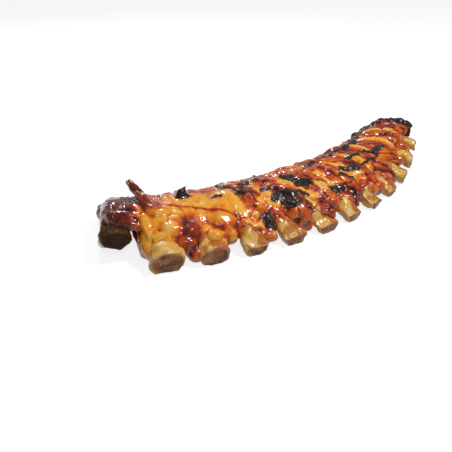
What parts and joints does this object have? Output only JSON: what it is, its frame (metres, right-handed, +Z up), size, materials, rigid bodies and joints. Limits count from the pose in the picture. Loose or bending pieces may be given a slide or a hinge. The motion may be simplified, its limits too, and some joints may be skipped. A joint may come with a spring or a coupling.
{
  "type": "rack of ribs",
  "caption": "Grilled, glazed rack of pork ribs lying bone side down in a gentle fan, with sawn bone ends showing along the front and back edges.",
  "frame": {"origin": "the middle of the base of the box round the whole rack, on the surface it lies on", "axes": "+X along the row of ribs, from the first, stout rib to the last, slender one; +Y from the sawn front tips to the back edge; +Z up, with the bone side down"},
  "size_m": [0.3652, 0.1466, 0.0438],
  "materials": {
    "glazed_meat": "wet, glossy red-brown barbecue glaze over meat and fat, with rough black char",
    "bone": "pale tan bone with browned gristle, satin to wet"
  },
  "bodies": {
    "root": {"meat": "glazed_meat", "rib_01": "bone", "rib_02": "bone", "rib_03": "bone", "rib_04": "bone", "rib_05": "bone", "rib_06": "bone", "rib_07": "bone", "rib_08": "bone", "rib_09": "bone", "rib_10": "bone", "rib_11": "bone", "rib_12": "bone", "rib_13": "bone"}
  },
  "joints": []
}
